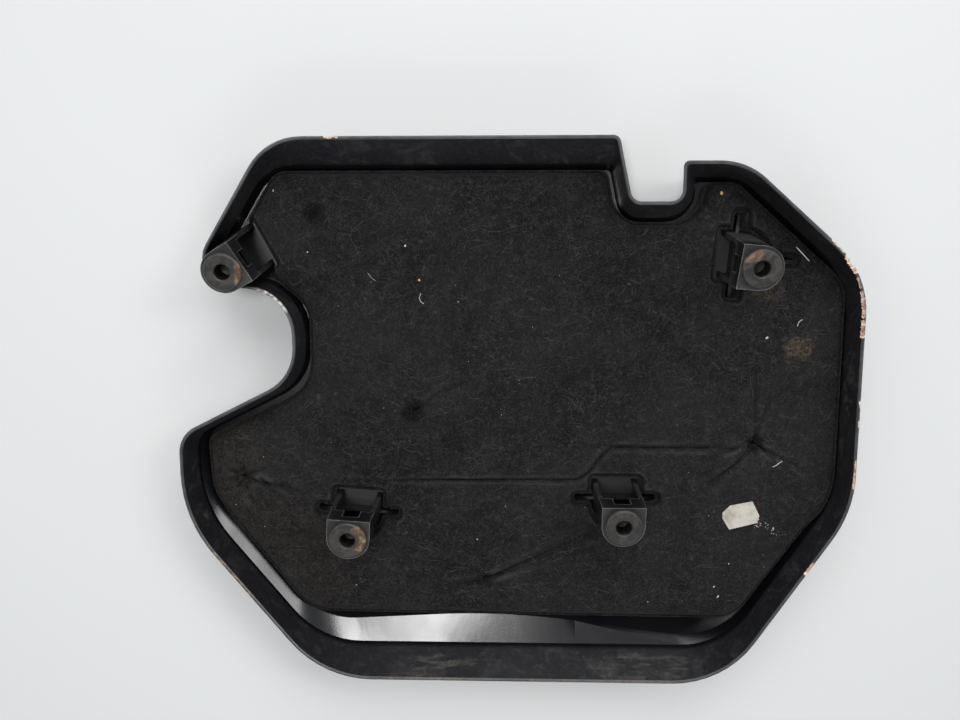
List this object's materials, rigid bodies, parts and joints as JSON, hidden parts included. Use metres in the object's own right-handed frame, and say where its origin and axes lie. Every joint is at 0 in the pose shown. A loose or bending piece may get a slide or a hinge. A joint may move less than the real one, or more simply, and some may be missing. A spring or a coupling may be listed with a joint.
{
  "type": "engine cover",
  "caption": "Moulded plastic engine cover with a felt-faced insulation pad and rubber stud grommets, lying underside up",
  "frame": {"origin": "on the surface that the styled face lies on, under the middle of the cover's box", "axes": "+X along the long side towards the end with the plain edge, +Y towards the edge with the notch, +Z out of the open underside"},
  "size_m": [0.446, 0.3632, 0.0553],
  "materials": {
    "shell": "satin black moulded plastic",
    "felt": "charcoal needled felt",
    "rubber": "satin dark grey rubber",
    "paper": "matt off-white paper"
  },
  "bodies": {
    "root": {"cover_shell": "shell", "insulation_pad": "felt", "grommet_lower_left": "rubber", "grommet_lower_right": "rubber", "grommet_upper_left": "rubber", "grommet_upper_right": "rubber", "paper_sticker": "paper"}
  },
  "joints": []
}
